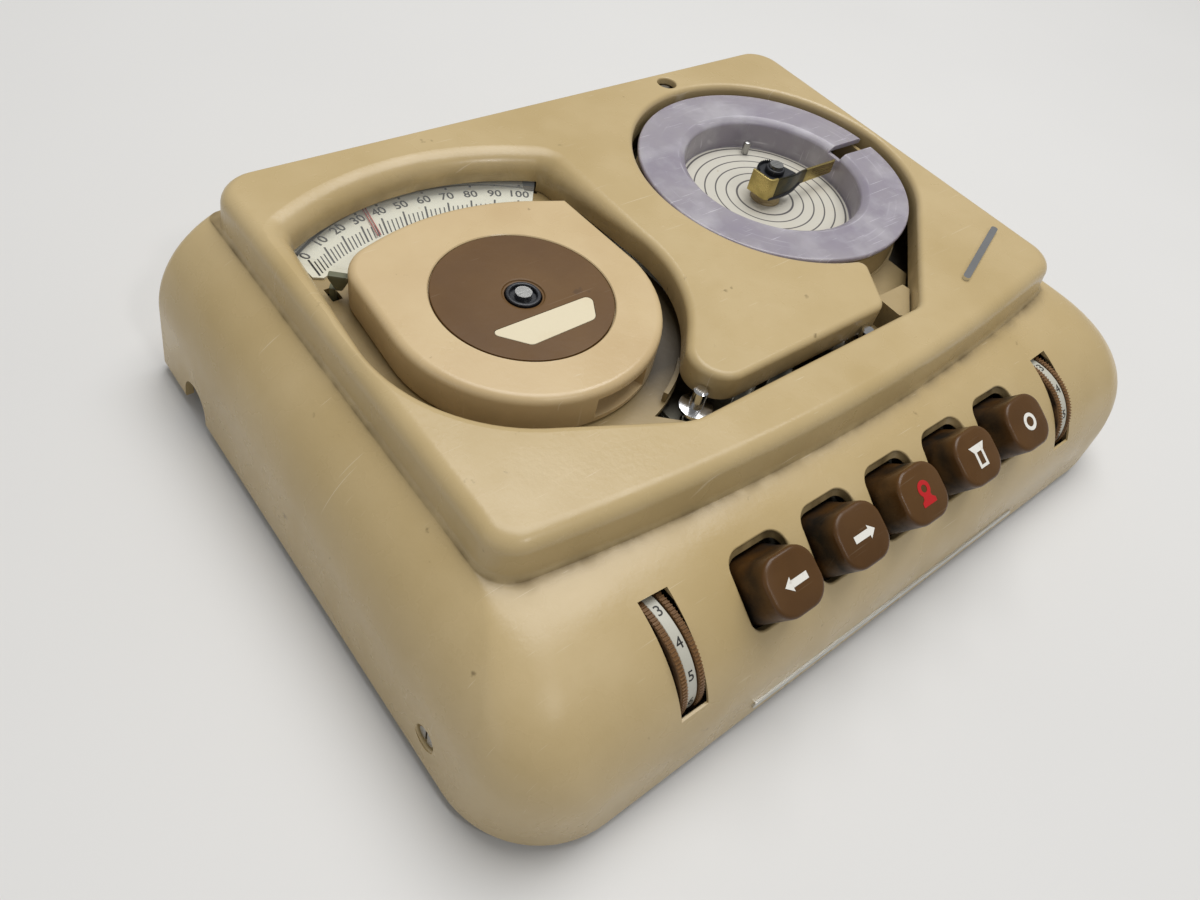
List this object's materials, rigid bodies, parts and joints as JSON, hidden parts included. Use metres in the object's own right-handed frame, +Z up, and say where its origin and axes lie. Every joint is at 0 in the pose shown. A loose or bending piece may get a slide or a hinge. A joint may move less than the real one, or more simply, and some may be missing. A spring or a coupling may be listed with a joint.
{
  "type": "reel-to-reel tape recorder",
  "caption": "Desk-top reel-to-reel tape recorder: domed moulded case, lift-out tape cassette with an arc scale, open take-up reel, push buttons and thumbwheels.",
  "frame": {"origin": "middle of the footprint, on the table under the rubber feet", "axes": "+X to the right along the front edge, +Y from the front edge to the flat back, +Z up"},
  "size_m": [0.29, 0.2061, 0.0678],
  "materials": {
    "tan_plastic": "glossy moulded",
    "cream_plastic": "glossy moulded",
    "brown_plastic": "glossy moulded",
    "black_plastic": "glossy moulded",
    "lilac_plastic": "frosted translucent",
    "clear_plastic": "clear sheet",
    "grey_plastic": "matt moulded",
    "paper": "printed paper",
    "red_plastic": "painted",
    "tape": "wound tape",
    "steel": "turned",
    "sheet_steel": "plated sheet",
    "brown_sheet": "painted sheet",
    "chrome": "bright",
    "brass": "dull",
    "rubber": "moulded",
    "iron": "dark",
    "board": "laminate",
    "valve_glass": "clear",
    "dark_plastic": "moulded"
  },
  "bodies": {
    "machine": {"upper_case": "tan_plastic", "base_plate": "brown_sheet", "rubber_feet": "rubber", "foot_screws": "steel", "base_screws": "steel", "case_screws": "steel", "chassis_plate": "sheet_steel", "chassis_posts": "steel", "cassette_tray": "tan_plastic", "reel_tray": "tan_plastic", "scale_plate": "paper", "scale_window": "clear_plastic", "head_bracket": "sheet_steel", "record_head": "steel", "erase_head": "steel", "tape_guides": "steel", "supply_bearing": "brass", "takeup_bearing": "brass", "capstan_bearing": "brass", "motor": "iron", "drive_belt": "rubber", "button_frame": "sheet_steel", "spring_rewind": "steel", "spring_forward": "steel", "spring_record": "steel", "spring_play": "steel", "spring_stop": "steel", "wheel_brackets": "sheet_steel", "transformer": "iron", "circuit_board": "board", "valves": "valve_glass", "capacitors": "dark_plastic", "socket_panel": "dark_plastic", "front_trim": "chrome", "deck_trim": "chrome"},
    "pointer": {"scale_pointer": "red_plastic"},
    "supply_drive": {"supply_spindle": "steel"},
    "cassette": {"cassette_body": "cream_plastic", "cassette_disc": "brown_plastic", "cassette_label": "paper"},
    "supply_spool": {"supply_hub": "black_plastic", "tape_pack": "tape"},
    "takeup": {"takeup_spindle": "steel", "takeup_reel": "lilac_plastic", "reel_label": "paper", "tape_catch": "brass"},
    "capstan": {"flywheel": "iron"},
    "motor_rotor": {"motor_pulley": "brass"},
    "pinch_lever": {"pinch_arm": "sheet_steel"},
    "pinch_wheel": {"pinch_roller": "rubber"},
    "release": {"release_lever": "grey_plastic"},
    "rewind_key": {"button_rewind": "brown_plastic"},
    "forward_key": {"button_forward": "brown_plastic"},
    "record_key": {"button_record": "brown_plastic"},
    "play_key": {"button_play": "brown_plastic"},
    "stop_key": {"button_stop": "brown_plastic"},
    "volume": {"volume_wheel": "brown_plastic"},
    "tone": {"tone_wheel": "brown_plastic"}
  },
  "joints": [
    {"name": "supply_spin", "type": "hinge", "parent": "machine", "child": "supply_drive", "pos_m": [-0.0645, 0.018, 0.045], "axis": [0, 0, 1], "continuous": true},
    {"name": "takeup_spin", "type": "hinge", "parent": "machine", "child": "takeup", "pos_m": [0.0605, 0.035, 0.045], "axis": [0, 0, 1], "continuous": true},
    {"name": "capstan_spin", "type": "hinge", "parent": "machine", "child": "capstan", "pos_m": [0.016, -0.0363, 0.04], "axis": [0, 0, 1], "continuous": true},
    {"name": "motor_spin", "type": "hinge", "parent": "machine", "child": "motor_rotor", "pos_m": [0.002, 0.058, 0.025], "axis": [0, 0, 1], "continuous": true},
    {"name": "pinch_swing", "type": "hinge", "parent": "machine", "child": "pinch_lever", "pos_m": [0.042, -0.0513, 0.048], "axis": [0, 0, 1], "range_deg": [0, 12], "stiffness_Nm_per_rad": 0.3, "springref_deg": -5.73},
    {"name": "roller_spin", "type": "hinge", "parent": "pinch_lever", "child": "pinch_wheel", "pos_m": [0.016, -0.0453, 0.052], "axis": [0, 0, 1], "continuous": true},
    {"name": "pointer_swing", "type": "hinge", "parent": "machine", "child": "pointer", "pos_m": [-0.0645, 0.018, 0.049], "axis": [0, 0, 1], "range_deg": [-45.8, 24.7]},
    {"name": "cassette_lift", "type": "slide", "parent": "machine", "child": "cassette", "axis": [0, 0, 1], "range_m": [0, 0.03]},
    {"name": "spool_spin", "type": "hinge", "parent": "cassette", "child": "supply_spool", "pos_m": [-0.0645, 0.018, 0.058], "axis": [0, 0, 1], "continuous": true},
    {"name": "release_press", "type": "slide", "parent": "machine", "child": "release", "axis": [0, 0, -1], "range_m": [0, 0.003], "stiffness_N_per_m": 250, "springref_m": -0.002},
    {"name": "rewind_press", "type": "slide", "parent": "machine", "child": "rewind_key", "axis": [0, 0.7071, -0.7071], "range_m": [0, 0.004], "stiffness_N_per_m": 400, "springref_m": -0.003, "deforming": ["spring_rewind"]},
    {"name": "forward_press", "type": "slide", "parent": "machine", "child": "forward_key", "axis": [0, 0.7071, -0.7071], "range_m": [0, 0.004], "stiffness_N_per_m": 400, "springref_m": -0.003, "deforming": ["spring_forward"]},
    {"name": "record_press", "type": "slide", "parent": "machine", "child": "record_key", "axis": [0, 0.7071, -0.7071], "range_m": [0, 0.004], "stiffness_N_per_m": 400, "springref_m": -0.003, "deforming": ["spring_record"]},
    {"name": "play_press", "type": "slide", "parent": "machine", "child": "play_key", "axis": [0, 0.7071, -0.7071], "range_m": [0, 0.004], "stiffness_N_per_m": 400, "springref_m": -0.003, "deforming": ["spring_play"]},
    {"name": "stop_press", "type": "slide", "parent": "machine", "child": "stop_key", "axis": [0, 0.7071, -0.7071], "range_m": [0, 0.004], "stiffness_N_per_m": 400, "springref_m": -0.003, "deforming": ["spring_stop"]},
    {"name": "volume_turn", "type": "hinge", "parent": "machine", "child": "volume", "pos_m": [-0.088, -0.07657, 0.0291], "axis": [1, 0, 0], "range_deg": [-135, 135]},
    {"name": "tone_turn", "type": "hinge", "parent": "machine", "child": "tone", "pos_m": [0.088, -0.07657, 0.0291], "axis": [1, 0, 0], "range_deg": [-135, 135]}
  ],
  "couplings": [
    {"joint": "spool_spin", "follows": "supply_spin", "ratio": 1},
    {"joint": "motor_spin", "follows": "capstan_spin", "ratio": 5.1556}
  ]
}
